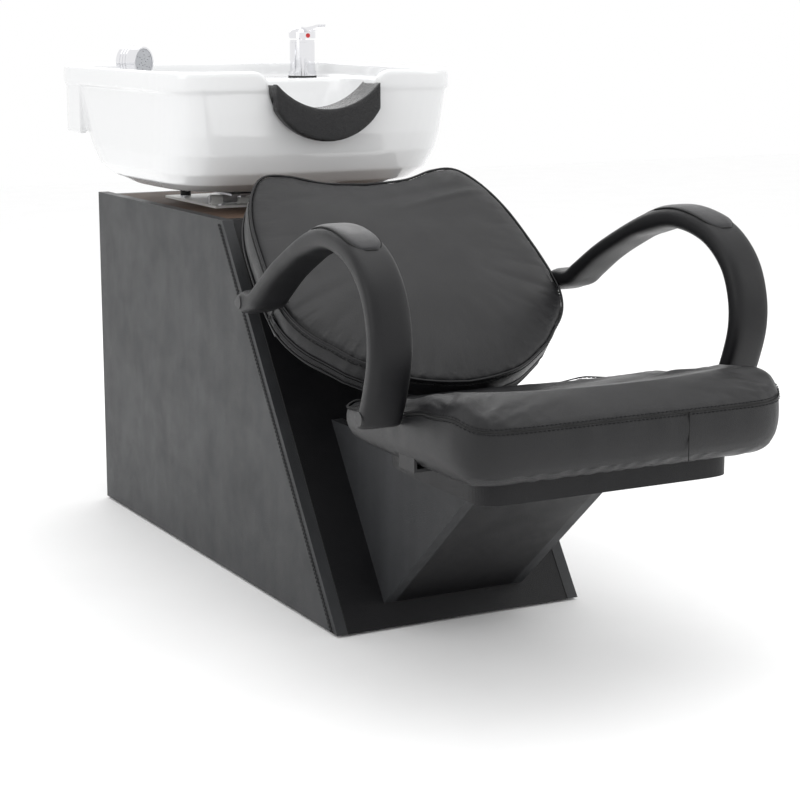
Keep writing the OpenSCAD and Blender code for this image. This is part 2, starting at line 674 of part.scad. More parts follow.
// Opening for the neck, seen from the front
function notch_plan(grow = 0) = let (
    h = concat(
        arc([0, 0], 1, -90, -4, 14),
        []
    ),
    e = [for (p = h) [p[0] * (notch_a + grow),
        notch_zc + p[1] * (notch_d - (rim_h - notch_zc) + grow)]]
) e;
module neck_opening() {
    h = concat(notch_plan(), curve([
        [notch_a + 1, notch_zc], [notch_a + 6, rim_h - 8], [notch_a + 14, rim_h - 2.5],
        [notch_a + 26, rim_h + 0.4]], 3), [[notch_a + 26, rim_h + 20]]);
    xz(basin_front - 20, 90) polygon(concat(h, reverse([for (p = h) if (p[0] > 1) [-p[0], p[1]]])));
}
module basin() color("white") difference() {
    union() {
        loft(concat(basin_outside, basin_inside));
        difference() {
            translate([0, 0, skirt_bottom]) linear_extrude(skirt_top - skirt_bottom)
                skirt_plan(3, skirt_y);
            translate([0, 0, skirt_bottom - 1]) linear_extrude(deck_z - deck_t - skirt_bottom + 1)
                skirt_plan(15, skirt_y - 9);
        }
        // Unglazed foot under the front of the bowl
        translate([-50, basin_front + 55, basin_bottom]) cube([100, 60, 17]);
    }
    neck_opening();
    // Hollow under the tap deck, open towards the rear
    translate([0, 0, skirt_bottom - 12]) linear_extrude(deck_z - deck_t - skirt_bottom + 12)
        skirt_plan(15, pocket_y, 12);
    yz(-205, 410) polygon([
        [basin_back - 176, basin_bottom - 9], [basin_back - 174, rim_h - 165],
        [basin_back - 152, rim_h - 132], [basin_back - 134, rim_h - 108],
        [basin_back - 100, skirt_bottom - 11], [basin_back + 20, skirt_bottom - 11],
        [basin_back + 20, basin_bottom - 9]
    ]);
    translate([tap_x, tap_y, 0]) rod(tap_hole_d / 2, deck_z - 40, deck_z + 5);
    translate([shower_x, shower_y, 0]) rod(shower_hole_d / 2, deck_z - 40, deck_z + 5);
    translate([0, drain_y, 0]) rod(drain_d / 2, basin_bottom - 5, bowl_floor + 5);
    basin_bolt_places() rod(basin_bolt_r + run_fit, basin_bottom - 1, basin_bottom + 14);
}

// ---- neck rest -----------------------------------------------------------

rest_front = basin_front - 20;
rest_depth = 65;
lip_front = basin_front - 0.6;
lip_rear = basin_front + 36;
// Crescent: lower edge grown from the notch, upper edge a shallow arc
function crescent(grow) = let (
    top_r = 119,
    tip = notch_a - 5,
    dip = rim_h - 59,
    tip_a = asin(tip / top_r),
    under = [for (p = notch_plan(grow)) if (p[0] < tip + 0.5 * grow) p],
    upper = arc([0, dip + top_r], top_r, -90 + tip_a, -90, 12),
    h = concat(under, upper)
) concat(h, reverse([for (p = h) if (p[0] > 0.5) [-p[0], p[1]]]));
module neck_rest() color("#151515") {
    xz(rest_front, rest_depth) polygon(crescent(-soft_gap));
    xz(rest_front, lip_front - rest_front) polygon(crescent(8));
    xz(lip_rear, rest_front + rest_depth - lip_rear) polygon(crescent(8));
}

// ---- tilt mount ----------------------------------------------------------

plate_x = 120;
plate_y = [pivot_y - 30, drain_y + 130];
cradle_x = 100;
cradle_y = [pivot_y - 50, drain_y + 100];
knuckles_base = [50, 97];
knuckles_cradle = 71;
knuckle_w = 20;
cradle_w = 25;
tilt_screw_r = 3;
module tilt_screw_places() for (x = [-105, 105], y = [plate_y[0] + 12, plate_y[1] - 50])
    translate([x, y, 0]) children();
module knuckle(x, w, z0) {
    translate([x, pivot_y, pivot_z]) rotate([0, 90, 0]) rod(knuckle_r, 0, w);
    translate([x, pivot_y - knuckle_r, min(z0, pivot_z)])
        cube([w, 2 * knuckle_r, abs(pivot_z - z0)]);
}
module tilt_axis(r, x0, x1) both_sides() translate([0, pivot_y, pivot_z])
    rotate([0, 90, 0]) rod(r, x0, x1);
module tilt_base_plate() color("#eeeeec") difference() {
    union() {
        translate([-plate_x, plate_y[0], top_z])
            cube([2 * plate_x, plate_y[1] - plate_y[0], base_t]);
        both_sides() for (x = knuckles_base) knuckle(x, knuckle_w, base_top);
    }
    translate([0, drain_y + 3, 0]) rod(waste_r + 18, top_z - 1, base_top + 30);
    tilt_axis(tilt_pin_r, 40, 130);
    tilt_screw_places() rod(tilt_screw_r, top_z - 1, base_top + 1);
}
module tilt_cradle() color("silver") difference() {
    union() {
        translate([-cradle_x, cradle_y[0], cradle_top - cradle_t])
            cube([2 * cradle_x, cradle_y[1] - cradle_y[0], cradle_t]);
        both_sides() knuckle(knuckles_cradle, cradle_w, cradle_top - cradle_t);
    }
    translate([0, drain_y, 0]) rod(waste_r + 12, base_top, cradle_top + 1);
    tilt_axis(bush_r, 60, 130);
    basin_bolt_places() rod(basin_bolt_r, base_top, cradle_top + 1);
}
module tilt_bushes() color("#dcdcd4") difference() {
    tilt_axis(bush_r, knuckles_cradle, knuckles_cradle + cradle_w);
    tilt_axis(tilt_pin_r + run_fit, 60, 130);
}
module tilt_pins() color("silver") {
    tilt_axis(tilt_pin_r, knuckles_base[0] + 1, knuckles_base[1] + knuckle_w);
    tilt_axis(6, knuckles_base[1] + knuckle_w, knuckles_base[1] + knuckle_w + 2);
}
module tilt_stops() color("#1a1a1a") both_sides()
    translate([90, cradle_y[1] + 12, base_top]) rod(9, 0, 13);
module tilt_screws() color("silver") tilt_screw_places() {
    rod(tilt_screw_r, top_board_z + 4, base_top);
    rod(6, base_top, base_top + 2.5);
}
module basin_pads() color("#1a1a1a") difference() {
    basin_bolt_places() rod(16, cradle_top, basin_bottom);
    basin_bolt_places() rod(basin_bolt_r + run_fit, cradle_top - 1, basin_bottom + 1);
}
module basin_bolts() color("silver") basin_bolt_places() {
    rod(basin_bolt_r, cradle_top - cradle_t, basin_bottom + 13);
    hex(7, cradle_top - cradle_t - 5, cradle_top - cradle_t);
}

// ---- waste ---------------------------------------------------------------

waste_bore = 19;
sleeve_end = basin_bottom - 25;
tail_r = 20;
tail_end = basin_bottom - 103;
module at_drain() translate([0, drain_y, 0]) children();
module waste_flange() color("silver") at_drain() difference() {
    union() {
        rod(30, bowl_floor, bowl_floor + 3);
        rod(waste_r, sleeve_end, bowl_floor + 1);
    }
    rod(waste_bore, sleeve_end - 1, bowl_floor + 4);
}
module waste_gasket() color("#151515") at_drain() difference() {
    rod(30, basin_bottom - 3.5, basin_bottom);
    rod(waste_r, basin_bottom - 5, basin_bottom + 1);
}
module waste_nut() color("#b08d4a") at_drain() difference() {
    hex(32, basin_bottom - 12, basin_bottom - 3.5);
    rod(waste_r, basin_bottom - 13, basin_bottom);
}
module waste_body() color("#d8d8d4") at_drain() difference() {
    union() {
        rod(27, sleeve_end - 6, basin_bottom - 13);
        rod(tail_r, tail_end, sleeve_end);
    }
    rod(waste_r, sleeve_end, basin_bottom);
    rod(tail_r - 3, tail_end - 1, basin_bottom);
}
module waste_strainer() color("silver") at_drain() difference() {
    union() {
        rod(24, bowl_floor + 3, bowl_floor + 4.5);
        rod(waste_bore - run_fit, bowl_floor - 6, bowl_floor + 3);
    }
    rod(waste_bore - 2, bowl_floor - 7, bowl_floor + 2.5);
    for (a = [0 : 60 : 300]) rotate([0, 0, a]) translate([11, 0, 0])
        rod(2.5, bowl_floor, bowl_floor + 5);
    rod(2.5, bowl_floor, bowl_floor + 5);
}

// ---- tap -----------------------------------------------------------------

gasket_t = 3;
tap_foot = deck_z + gasket_t;
tap_top = deck_z + tap_h;
tap_r = tap_d / 2;
lever_z = tap_top + 13;
lift_pin_r = 2;
swivel_r = 5;
shank_r = 16;
shank_end = deck_z - 48;
module at_tap() translate([tap_x, tap_y, 0]) children();
module tap_gasket() color("#151515") at_tap() difference() {
    rod(tap_r + 3, deck_z, tap_foot);
    rod(shank_r, deck_z - 1, tap_foot + 1);
}
module tap_body() color("silver") at_tap() difference() {
    union() {
        rod(tap_r + 2.5, tap_foot, tap_foot + 8);
        rod(tap_r, tap_foot, tap_top);
    }
    rod(shank_r, tap_foot - 1, tap_foot + 12);
    rod(17, tap_foot + 20, tap_top - 6);
    rod(8, tap_foot, tap_foot + 21);
    rod(swivel_r + run_fit, tap_top - 10, tap_top + 1);
}
module tap_cartridge() color("#e4e0d0") at_tap() {
    rod(17, tap_foot + 20, tap_top - 18);
    rod(4, tap_top - 19, tap_top - 14);
}
module tap_stem() color("silver") at_tap() {
    rod(swivel_r, tap_top - 12, tap_top + 3);
    rod(tap_r - 0.5, tap_top + 0.2, tap_top + 4);
    rod(6, tap_top + 3, lever_z);
    translate([0, 0, lever_z]) rotate([0, 90, 0]) {
        rod(7, -9, 9);
        rod(lift_pin_r, -17, 17);
    }
}
// Cap over the stem with the lever swept forwards and up
module tap_lever() color("silver") at_tap() difference() {
    union() {
        difference() {
            translate([0, 0, 0]) rotate_extrude() polygon(concat(
                [[0, lever_z - 6]], [[tap_r + 1.5, lever_z - 6], [tap_r + 1.5, lever_z + 5]],
                curve([[tap_r + 1.5, lever_z + 5], [tap_r - 2, lever_z + 10],
                    [12, lever_z + 13.5], [0, lever_z + 14.5]], 4)));
            // Relief at the rear so that the cap can rock back
            yz(-40, 80) polygon([[0, lever_z - 6.2], [40, lever_z - 6.2 + 40 * tan(27)],
                [40, lever_z - 20], [0, lever_z - 20]]);
        }
        yz(-7.5, 15) polygon([
            [-10, lever_z + 4], [-30, lever_z + 6], [-55, lever_z + 9.5], [-78, lever_z + 14.5],
            [-81, lever_z + 17], [-80, lever_z + 19], [-55, lever_z + 15.5],
            [-30, lever_z + 13], [-10, lever_z + 14]
        ]);
    }
    translate([-9.3, -14, lever_z - 12]) cube([18.6, 30, 12 + 7.5]);
    translate([0, 0, lever_z]) rotate([0, 90, 0]) rod(lift_pin_r + run_fit, -17.5, 17.5);
    translate([0, -tap_r + 1, lever_z - 1]) rotate([90, 0, 0]) rod(4, 0, 9);
}
module tap_index_button() color("#b02020") at_tap()
    translate([0, -tap_r + 1, lever_z - 1]) rotate([90, 0, 0]) rod(4, 0, 3.4);
module tap_shank() color("#b08d4a") at_tap() rod(shank_r, shank_end, tap_foot + 12);
hose_r = 5;
tail_l = 14;
// Three threaded ferrules under the shank, for hot, cold and mixed water
module tap_tails() color("#b08d4a") at_tap()
    for (a = [90, 210, 330]) rotate([0, 0, a]) translate([8, 0, 0]) difference() {
        rod(hose_r + 1.5, shank_end - tail_l, shank_end);
        rod(hose_r, shank_end - tail_l - 1, shank_end);
    }
module tap_nut() color("#b08d4a") at_tap() difference() {
    union() {
        rod(24, deck_z - deck_t - 3, deck_z - deck_t);
        hex(22, deck_z - deck_t - 14, deck_z - deck_t - 3);
    }
    rod(shank_r, deck_z - 40, deck_z);
}

// ---- hand shower ---------------------------------------------------------

collar_r = shower_hole_d / 2 - 0.5;
handle_r = handle_d / 2;
head_z = rim_h + 5;
head_a = 30;
module at_shower() translate([shower_x, shower_y, 0]) children();
module shower_collar() color("silver") at_shower() difference() {
    union() {
        rod(collar_r + 5, deck_z, deck_z + 4);
        rod(collar_r, deck_z - deck_t - 14, deck_z + 1);
    }
    rod(handle_r + run_fit, deck_z - 40, deck_z + 5);
}
module shower_collar_nut() color("#b08d4a") at_shower() difference() {
    hex(18, deck_z - deck_t - 8, deck_z - deck_t);
    rod(collar_r, deck_z - 40, deck_z);
}
// Local frame of the head: z points along the spray
module at_head() at_shower() translate([0, 0, head_z]) rotate([90, 0, head_a]) children();
module shower_body() color("silver") difference() {
    union() {
        at_shower() rod(handle_r, deck_z - handle_l, head_z);
        at_head() {
            rod(head_d / 2, -head_l / 2, head_l / 2);
            for (k = [0 : 2]) rod(head_d / 2 + 0.8, -head_l / 2 + 5 + 6 * k, -head_l / 2 + 8 + 6 * k);
        }
    }
    at_shower() rod(hose_r, deck_z - handle_l - 1, deck_z - handle_l + 20);
    at_head() rod(head_d / 2 - 3, head_l / 2 - 4, head_l / 2 + 1);
}
module shower_face() color("#b4b6b8") at_head() difference() {
    rod(head_d / 2 - 3, head_l / 2 - 4, head_l / 2 - 1);
    for (r = [6, 12, 18], k = [1 : 6]) rotate([0, 0, 60 * k + 10 * r / 6])
        translate([r, 0, 0]) rod(1, head_l / 2 - 3, head_l / 2);
}

cabinet_side_left();
cabinet_side_right();
cabinet_ramp_board();
cabinet_floor_board();
cabinet_top_board();
cabinet_battens();
rear_access_panel();
rear_panel_screws();
floor_glides();
plinth_side_left();
plinth_side_right();
plinth_front_board();
plinth_rails();
plinth_bolts();
seat_bolts();
seat_board();
seat_cushion();
back_board();
back_cushion();
back_brackets();
back_bolts();
zip_tape();
zip_slider();
zip_pull();
armrest_left();
armrest_right();
arm_pad_left();
arm_pad_right();
arm_brackets();
arm_bolts();
arm_bolt_caps();
basin();
neck_rest();
basin_pads();
basin_bolts();
tilt_base_plate();
tilt_cradle();
tilt_pins();
tilt_bushes();
tilt_stops();
tilt_screws();
waste_flange();
waste_gasket();
waste_body();
waste_nut();
waste_strainer();
tap_gasket();
tap_body();
tap_cartridge();
tap_stem();
tap_lever();
tap_index_button();
tap_shank();
tap_tails();
tap_nut();
shower_collar();
shower_collar_nut();
shower_body();
shower_face();
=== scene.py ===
import json
import math
import bpy
import bmesh
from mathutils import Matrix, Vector, noise


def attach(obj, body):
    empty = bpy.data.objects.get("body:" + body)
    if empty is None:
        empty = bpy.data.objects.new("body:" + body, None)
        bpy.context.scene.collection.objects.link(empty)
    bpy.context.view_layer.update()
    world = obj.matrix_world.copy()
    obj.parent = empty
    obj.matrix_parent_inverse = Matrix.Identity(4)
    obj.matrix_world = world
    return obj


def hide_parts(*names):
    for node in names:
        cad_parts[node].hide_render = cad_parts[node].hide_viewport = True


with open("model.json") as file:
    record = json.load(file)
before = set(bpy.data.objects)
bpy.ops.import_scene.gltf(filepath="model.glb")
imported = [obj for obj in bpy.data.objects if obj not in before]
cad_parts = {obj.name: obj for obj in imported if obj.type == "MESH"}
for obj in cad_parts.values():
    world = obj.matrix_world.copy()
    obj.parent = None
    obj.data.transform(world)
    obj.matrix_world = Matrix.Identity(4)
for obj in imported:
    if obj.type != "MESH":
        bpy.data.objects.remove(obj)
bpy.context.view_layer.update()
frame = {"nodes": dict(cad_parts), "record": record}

SCENE = bpy.context.scene

# ---------------------------------------------------------------- materials


def material(name, base, rough=0.5, metal=0.0, vary=0.08, vary_scale=6.0, grain=None,
             streak=None, weave=None, rough_vary=0.06, soft_bump=0.0, **sockets):
    """A node material: colour drift, roughness drift, and bump from dents, grain and weave."""
    m = bpy.data.materials.new(name)
    m.use_nodes = True
    nt = m.node_tree
    n, link = nt.nodes, nt.links.new
    bsdf = n["Principled BSDF"]
    for key, value in dict(Metallic=metal, **sockets).items():
        bsdf.inputs[key.replace("_", " ")].default_value = value
    coord = n.new("ShaderNodeTexCoord").outputs["Object"]

    def noise_tex(scale, detail=4.0, source=coord, roughness=0.55):
        t = n.new("ShaderNodeTexNoise")
        t.inputs["Scale"].default_value = scale
        t.inputs["Detail"].default_value = detail
        t.inputs["Roughness"].default_value = roughness
        link(source, t.inputs["Vector"])
        return t.outputs["Fac"]

    def ranged(value, low, high, lo_in=0.3, hi_in=0.7):
        r = n.new("ShaderNodeMapRange")
        r.inputs["From Min"].default_value = lo_in
        r.inputs["From Max"].default_value = hi_in
        r.inputs["To Min"].default_value = low
        r.inputs["To Max"].default_value = high
        link(value, r.inputs["Value"])
        return r.outputs["Result"]

    def mixed(fac, a, b):
        x = n.new("ShaderNodeMix")
        x.data_type = "RGBA"
        link(fac, x.inputs["Factor"])
        for socket, v in ((x.inputs[6], a), (x.inputs[7], b)):
            if isinstance(v, (tuple, list)):
                socket.default_value = (*v, 1.0)
            else:
                link(v, socket)
        return x.outputs[2]

    dark = tuple(c * (1 - vary) for c in base)
    light = tuple(min(1.0, c * (1 + vary)) for c in base)
    colour = mixed(ranged(noise_tex(vary_scale), 0, 1), dark, light)
    if streak:
        turn = n.new("ShaderNodeMapping")
        turn.inputs["Scale"].default_value = streak[:3]
        link(coord, turn.inputs["Vector"])
        band = noise_tex(1.0, 3.0, turn.outputs["Vector"])
        colour = mixed(ranged(band, 0, 1, 0.42, 0.75), colour,
                       tuple(min(1.0, c * streak[3]) for c in base))
    link(colour, bsdf.inputs["Base Color"])
    link(ranged(noise_tex(vary_scale * 3), rough - rough_vary, rough + rough_vary),
         bsdf.inputs["Roughness"])
    normal = None

    def bump(height, strength, distance):
        nonlocal normal
        b = n.new("ShaderNodeBump")
        b.inputs["Strength"].default_value = strength
        b.inputs["Distance"].default_value = distance
        link(height, b.inputs["Height"])
        if normal:
            link(normal, b.inputs["Normal"])
        normal = b.outputs["Normal"]

    if soft_bump:
        bump(noise_tex(14.0, 2.0), soft_bump, 0.004)
    if grain:
        v = n.new("ShaderNodeTexVoronoi")
        v.feature = "DISTANCE_TO_EDGE"
        v.inputs["Scale"].default_value = grain[0]
        link(coord, v.inputs["Vector"])
        bump(ranged(v.outputs["Distance"], 0, 1, 0.0, 0.25), grain[1], 0.0006)
        bump(noise_tex(grain[0] * 2.3), grain[1] * 0.5, 0.0003)
    if weave:
        for k in (0, 1):
            w = n.new("ShaderNodeTexWave")
            w.bands_direction = "XY"[k]
            w.inputs["Scale"].default_value = weave
            link(coord, w.inputs["Vector"])
            bump(w.outputs["Fac"], 0.3, 0.0004)
    if normal:
        link(normal, bsdf.inputs["Normal"])
    return m


M = {
    "side": material("side_leatherette", (0.024, 0.025, 0.027), 0.46, grain=(520, 0.35),
                     streak=(30, 30, 1.2, 1.35), soft_bump=0.10, Specular_IOR_Level=0.35),
    "dark": material("dark_leatherette", (0.006, 0.006, 0.007), 0.42, grain=(520, 0.35),
                     soft_bump=0.08, Specular_IOR_Level=0.25),
    "cushion": material("cushion_leatherette", (0.0085, 0.0085, 0.0095), 0.36, grain=(620, 0.28),
                        vary=0.10, soft_bump=0.10, Specular_IOR_Level=0.34),
    "piping": material("piping", (0.007, 0.007, 0.008), 0.36, grain=(900, 0.2),
                       Specular_IOR_Level=0.3),
    "thread": material("thread", (0.012, 0.012, 0.013), 0.6, weave=900,
                       Specular_IOR_Level=0.2),
    # seam_shadow is near black: painted shade, laid as thin tubes into seams, joints and edge
    # creases
    "seam": material("seam_shadow", (0.004, 0.004, 0.004), 0.8, grain=(900, 0.2)),
    "arm": material("arm_foam_skin", (0.0065, 0.0065, 0.0075), 0.38, grain=(900, 0.22), vary=0.1,
                    soft_bump=0.05, Specular_IOR_Level=0.28),
    "pad": material("arm_pad_skin", (0.010, 0.010, 0.012), 0.34, grain=(900, 0.2), vary=0.1,
                    Specular_IOR_Level=0.4),
    "ceramic": material("white_glaze", (0.74, 0.745, 0.75), 0.10, vary=0.012, vary_scale=3,
                        rough_vary=0.02, soft_bump=0.015, Coat_Weight=0.5, Coat_Roughness=0.05),
    "neck": material("neck_gel", (0.007, 0.007, 0.008), 0.22, grain=(400, 0.8), vary=0.15,
                     Specular_IOR_Level=0.4),
    "chrome": material("chrome", (0.80, 0.80, 0.82), 0.07, metal=1.0, vary=0.02,
                       rough_vary=0.03),
    "spray": material("spray_face", (0.40, 0.41, 0.43), 0.42, vary=0.05, grain=(700, 0.15)),
    "board": material("raw_board", (0.085, 0.052, 0.034), 0.7, streak=(3, 60, 60, 1.5),
                      grain=(400, 0.25)),
    "timber": material("raw_timber", (0.50, 0.36, 0.21), 0.65, streak=(60, 3, 60, 0.8),
                       grain=(300, 0.2)),
    "zinc": material("zinc_plate", (0.62, 0.62, 0.64), 0.32, metal=1.0, grain=(500, 0.1)),
    "black_steel": material("black_coat", (0.016, 0.016, 0.017), 0.5, grain=(1200, 0.3)),
    "white_steel": material("white_coat", (0.80, 0.80, 0.78), 0.35, vary=0.03,
                            grain=(1200, 0.15)),
    "black": material("black_plastic", (0.012, 0.012, 0.013), 0.38, grain=(1400, 0.25)),
    "rubber": material("black_rubber", (0.014, 0.014, 0.014), 0.75, grain=(900, 0.3)),
    "nylon": material("nylon", (0.78, 0.77, 0.72), 0.5, vary=0.04, grain=(900, 0.1)),
    "white_plastic": material("white_plastic", (0.80, 0.80, 0.79), 0.3, vary=0.03,
                              grain=(900, 0.1)),
    "brass": material("brass", (0.70, 0.50, 0.22), 0.28, metal=1.0, grain=(600, 0.1)),
    "red": material("red_index", (0.60, 0.03, 0.03), 0.25, vary=0.05, grain=(900, 0.05)),
    "zip": material("zip_cloth", (0.007, 0.007, 0.008), 0.8, weave=1500),
    "zip_metal": material("zip_metal", (0.05, 0.05, 0.055), 0.35, metal=0.6,
                          grain=(900, 0.1)),
    "floor": material("floor_pale", (0.985, 0.985, 0.985), 0.75, vary=0.01, grain=(60, 0.02)),
}

SLOT_LOOK = {
    "leatherette": "side", "leatherette_dark": "dark", "cushion": "cushion",
    "panel_board": "board", "timber": "timber", "zinc_steel": "zinc",
    "black_steel": "black_steel", "white_steel": "white_steel", "black_plastic": "black",
    "arm_foam": "arm", "zip_cloth": "zip", "zip_metal": "zip_metal", "ceramic": "ceramic",
    "neck_gel": "neck", "black_rubber": "rubber", "nylon": "nylon", "chrome": "chrome",
    "white_plastic": "white_plastic", "brass": "brass", "index_mark": "red",
    "grey_plastic": "spray",
}
# Edge radius of the carried-over CAD nodes, in metres
EDGES = {
    "leatherette": 0.004, "leatherette_dark": 0.002, "chrome": 0.0011, "zinc_steel": 0.0006,
    "white_steel": 0.001, "black_plastic": 0.0008, "panel_board": 0.001, "brass": 0.0006,
    "zip_metal": 0.0003, "black_rubber": 0.0006, "grey_plastic": 0.0005, "timber": 0.001,
    "black_steel": 0.0006, "white_plastic": 0.0008, "index_mark": 0.0005, "nylon": 0.0004,
}

# The boards behind the backrest and under the seat take the near-black leatherette look instead of
# raw board
NODE_LOOK = {"back_board": "dark", "seat_board": "dark"}

for sub in frame["record"]["subparts"]:
    obj = frame["nodes"][sub["node"]]
    slot = sub["material_slot"]
    obj.data.materials.clear()
    obj.data.materials.append(M[NODE_LOOK.get(sub["node"], SLOT_LOOK[slot])])
    if slot in EDGES:
        bevel = obj.modifiers.new("edge", "BEVEL")
        bevel.width = EDGES[slot]
        bevel.segments = 2
        bevel.limit_method = "ANGLE"
        bevel.angle_limit = math.radians(40)
        bevel.harden_normals = False

# ---------------------------------------------------------------- helpers


def piece(name, verts, faces, look, body, slot, smooth=True):
    mesh = bpy.data.meshes.new(name)
    mesh.from_pydata([tuple(v) for v in verts], [], faces)
    mesh.update()
    bm = bmesh.new()
    bm.from_mesh(mesh)
    bmesh.ops.remove_doubles(bm, verts=bm.verts, dist=1e-6)
    bmesh.ops.recalc_face_normals(bm, faces=bm.faces)
    bm.to_mesh(mesh)
    bm.free()
    mesh.materials.append(M[look])
    obj = bpy.data.objects.new(name, mesh)
    SCENE.collection.objects.link(obj)
    if smooth:
        mesh.shade_smooth()
    if body:
        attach(obj, body)
    return obj


def skin(rings, cap_start=True, cap_end=True, closed=True):
    """Vertices and faces through rings of equal length."""
    n = len(rings[0])
    verts = [v for r in rings for v in r]
    faces = []
    for i in range(len(rings) - 1):
        for k in range(n if closed else n - 1):
            a, b = i * n + k, i * n + (k + 1) % n
            faces.append((a, b, b + n, a + n))
    if cap_start:
        faces.append(tuple(range(n))[::-1])
    if cap_end:
        faces.append(tuple((len(rings) - 1) * n + k for k in range(n)))
    return verts, faces


def catmull(points, steps, closed=False):
    pts = [Vector(p) for p in points]
    n = len(pts)
    out = []
    for i in range(n if closed else n - 1):
        if closed:
            a, b, c, d = (pts[(i + k) % n] for k in (-1, 0, 1, 2))
        else:
            a, b, c, d = pts[max(i - 1, 0)], pts[i], pts[i + 1], pts[min(i + 2, n - 1)]
        for k in range(steps):
            t = k / steps
            out.append(0.5 * ((2 * b) + (c - a) * t + (2 * a - 5 * b + 4 * c - d) * t * t
                              + (3 * b - a - 3 * c + d) * t ** 3))
    if not closed:
        out.append(pts[-1])
    return out


def evenly(points, step, closed=False):
    """The same path with points a fixed distance apart."""
    pts = [Vector(p) for p in points]
    if closed:
        pts.append(pts[0])
    total = sum((b - a).length for a, b in zip(pts, pts[1:]))
    count = max(2, round(total / step))
    out, want, gone = [], 0.0, 0.0
    for a, b in zip(pts, pts[1:]):
        seg = (b - a).length
        while seg > 0 and want <= gone + seg + 1e-9 and len(out) < count + (not closed):
            out.append(a.lerp(b, min(1.0, (want - gone) / seg)))
            want += total / count
        gone += seg
    return out


def tube_rings(path, radius, sides=8, closed=False):
    pts = [Vector(p) for p in path]
    n = len(pts)
    rings, up = [], None
    for i, p in enumerate(pts):
        a = pts[(i - 1) % n] if closed or i else p
        b = pts[(i + 1) % n] if closed or i < n - 1 else p
        t = (b - a).normalized()
        if up is None:
            up = t.orthogonal().normalized()
        up = (up - t * up.dot(t)).normalized()
        side = t.cross(up)
        r = radius(i / max(1, n - 1)) if callable(radius) else radius
        rings.append([p + (up * math.cos(a2) + side * math.sin(a2)) * r
                      for a2 in (2 * math.pi * k / sides for k in range(sides))])
    return rings


def tube(name, path, radius, look, body, slot, sides=8, closed=False):
    rings = tube_rings(path, radius, sides, closed)
    if closed:
        n, m = sides, len(rings)
        verts = [v for r in rings for v in r]
        # the last ring meets the first with the least twist
        last, first = rings[-1], rings[0]
        shift = min(range(n), key=lambda s: sum((last[k] - first[(k + s) % n]).length
                                                for k in range(n)))
        faces = [(i * n + k, i * n + (k + 1) % n, (i + 1) * n + (k + 1) % n, (i + 1) * n + k)
                 for i in range(m - 1) for k in range(n)]
        faces += [((m - 1) * n + k, (m - 1) * n + (k + 1) % n,
                   (k + 1 + shift) % n, (k + shift) % n) for k in range(n)]
        return piece(name, verts, faces, look, body, slot)
    return piece(name, *skin(rings), look, body, slot)


def stitches(name, path, body, slot, pitch=0.0062, length=0.0044, r=0.0007, lift=None,
             closed=False):
    """Short thread loops along a path; lift gives the outward normal at each point."""
    pts = evenly(path, pitch, closed)
    verts, faces = [], []
    for i, p in enumerate(pts):
        q = pts[(i + 1) % len(pts)] if closed or i + 1 < len(pts) else p + (p - pts[i - 1])
        t = (q - p).normalized()
        out = lift(p) if lift else Vector((0, 0, 1))
        arch = [p + t * (length * (u - 0.5)) + out * (r * (1.6 * math.sin(math.pi * u) - 0.5))
                for u in (0.0, 0.25, 0.5, 0.75, 1.0)]
        v, f = skin(tube_rings(arch, lambda u: r * (0.55 + 0.45 * math.sin(math.pi * u)), 5))
        faces += [tuple(k + len(verts) for k in face) for face in f]
        verts += v
    return piece(name, verts, faces, "thread", body, slot)


def remesh(obj, size, smooth=0):
    """Voxel remesh in place, then an even smoothing."""
    mod = obj.modifiers.new("remesh", "REMESH")
    mod.mode = "VOXEL"
    mod.voxel_size = size
    if smooth:
        s = obj.modifiers.new("smooth", "SMOOTH")
        s.factor = 0.5
        s.iterations = smooth
    bake(obj)


def bake(obj):
    """Replaces the mesh by its evaluated self and drops the modifiers."""
    deps = bpy.context.evaluated_depsgraph_get()
    deps.update()
    new = bpy.data.meshes.new_from_object(obj.evaluated_get(deps), depsgraph=deps)
    old = obj.data
    obj.modifiers.clear()
    obj.data = new
    bpy.data.meshes.remove(old)
    new.shade_smooth()


def inflate(obj, held, cap, pressure=4.0, voxel=0.005, frames=20, shrink=0.0):
    """Cloth simulation of stuffed fabric. held(co) is true where the fabric is sewn down."""
    mod = obj.modifiers.new("remesh", "REMESH")
    mod.mode = "VOXEL"
    mod.voxel_size = voxel
    bake(obj)
    start = [v.co.copy() for v in obj.data.vertices]
    group = obj.vertex_groups.new(name="held")
    group.add([i for i, co in enumerate(start) if held(co)], 1.0, "ADD")
    cloth = obj.modifiers.new("cloth", "CLOTH")
    s = cloth.settings
    s.quality = 4
    s.use_pressure = True
    s.uniform_pressure_force = pressure
    s.vertex_group_mass = "held"
    s.effector_weights.gravity = 0.0
    s.tension_stiffness = s.compression_stiffness = 12
    s.bending_stiffness = 0.6
    s.shrink_min = shrink
    cloth.collision_settings.use_self_collision = False
    cloth.point_cache.frame_start = 1
    cloth.point_cache.frame_end = frames
    for f in range(1, frames + 1):
        SCENE.frame_set(f)
    bake(obj)
    SCENE.frame_set(1)
    for v, a in zip(obj.data.vertices, start):
        d = v.co - a
        if d.length > cap:
            v.co = a + d * (cap / d.length)
    obj.data.update()


def subdivide(obj, levels=1):
    mod = obj.modifiers.new("subdivision", "SUBSURF")
    mod.levels = mod.render_levels = levels
    bake(obj)


def displace(obj, height):
    """Moves every vertex along its own normal by height(co)."""
    mesh = obj.data
    normals = [v.normal.copy() for v in mesh.vertices]
    moved = [v.co + n * height(v.co) for v, n in zip(mesh.vertices, normals)]
    mesh.vertices.foreach_set("co", [c for p in moved for c in p])
    mesh.update()


def lerp_table(table, x):
    if x <= table[0][0]:
        return table[0][1]
    for (x0, y0), (x1, y1) in zip(table, table[1:]):
        if x <= x1:
            t = (x - x0) / (x1 - x0)
            t = t * t * (3 - 2 * t)
            return y0 + (y1 - y0) * t
    return table[-1][1]


def superpow(v, p):
    return math.copysign(abs(v) ** (2.0 / p), v)

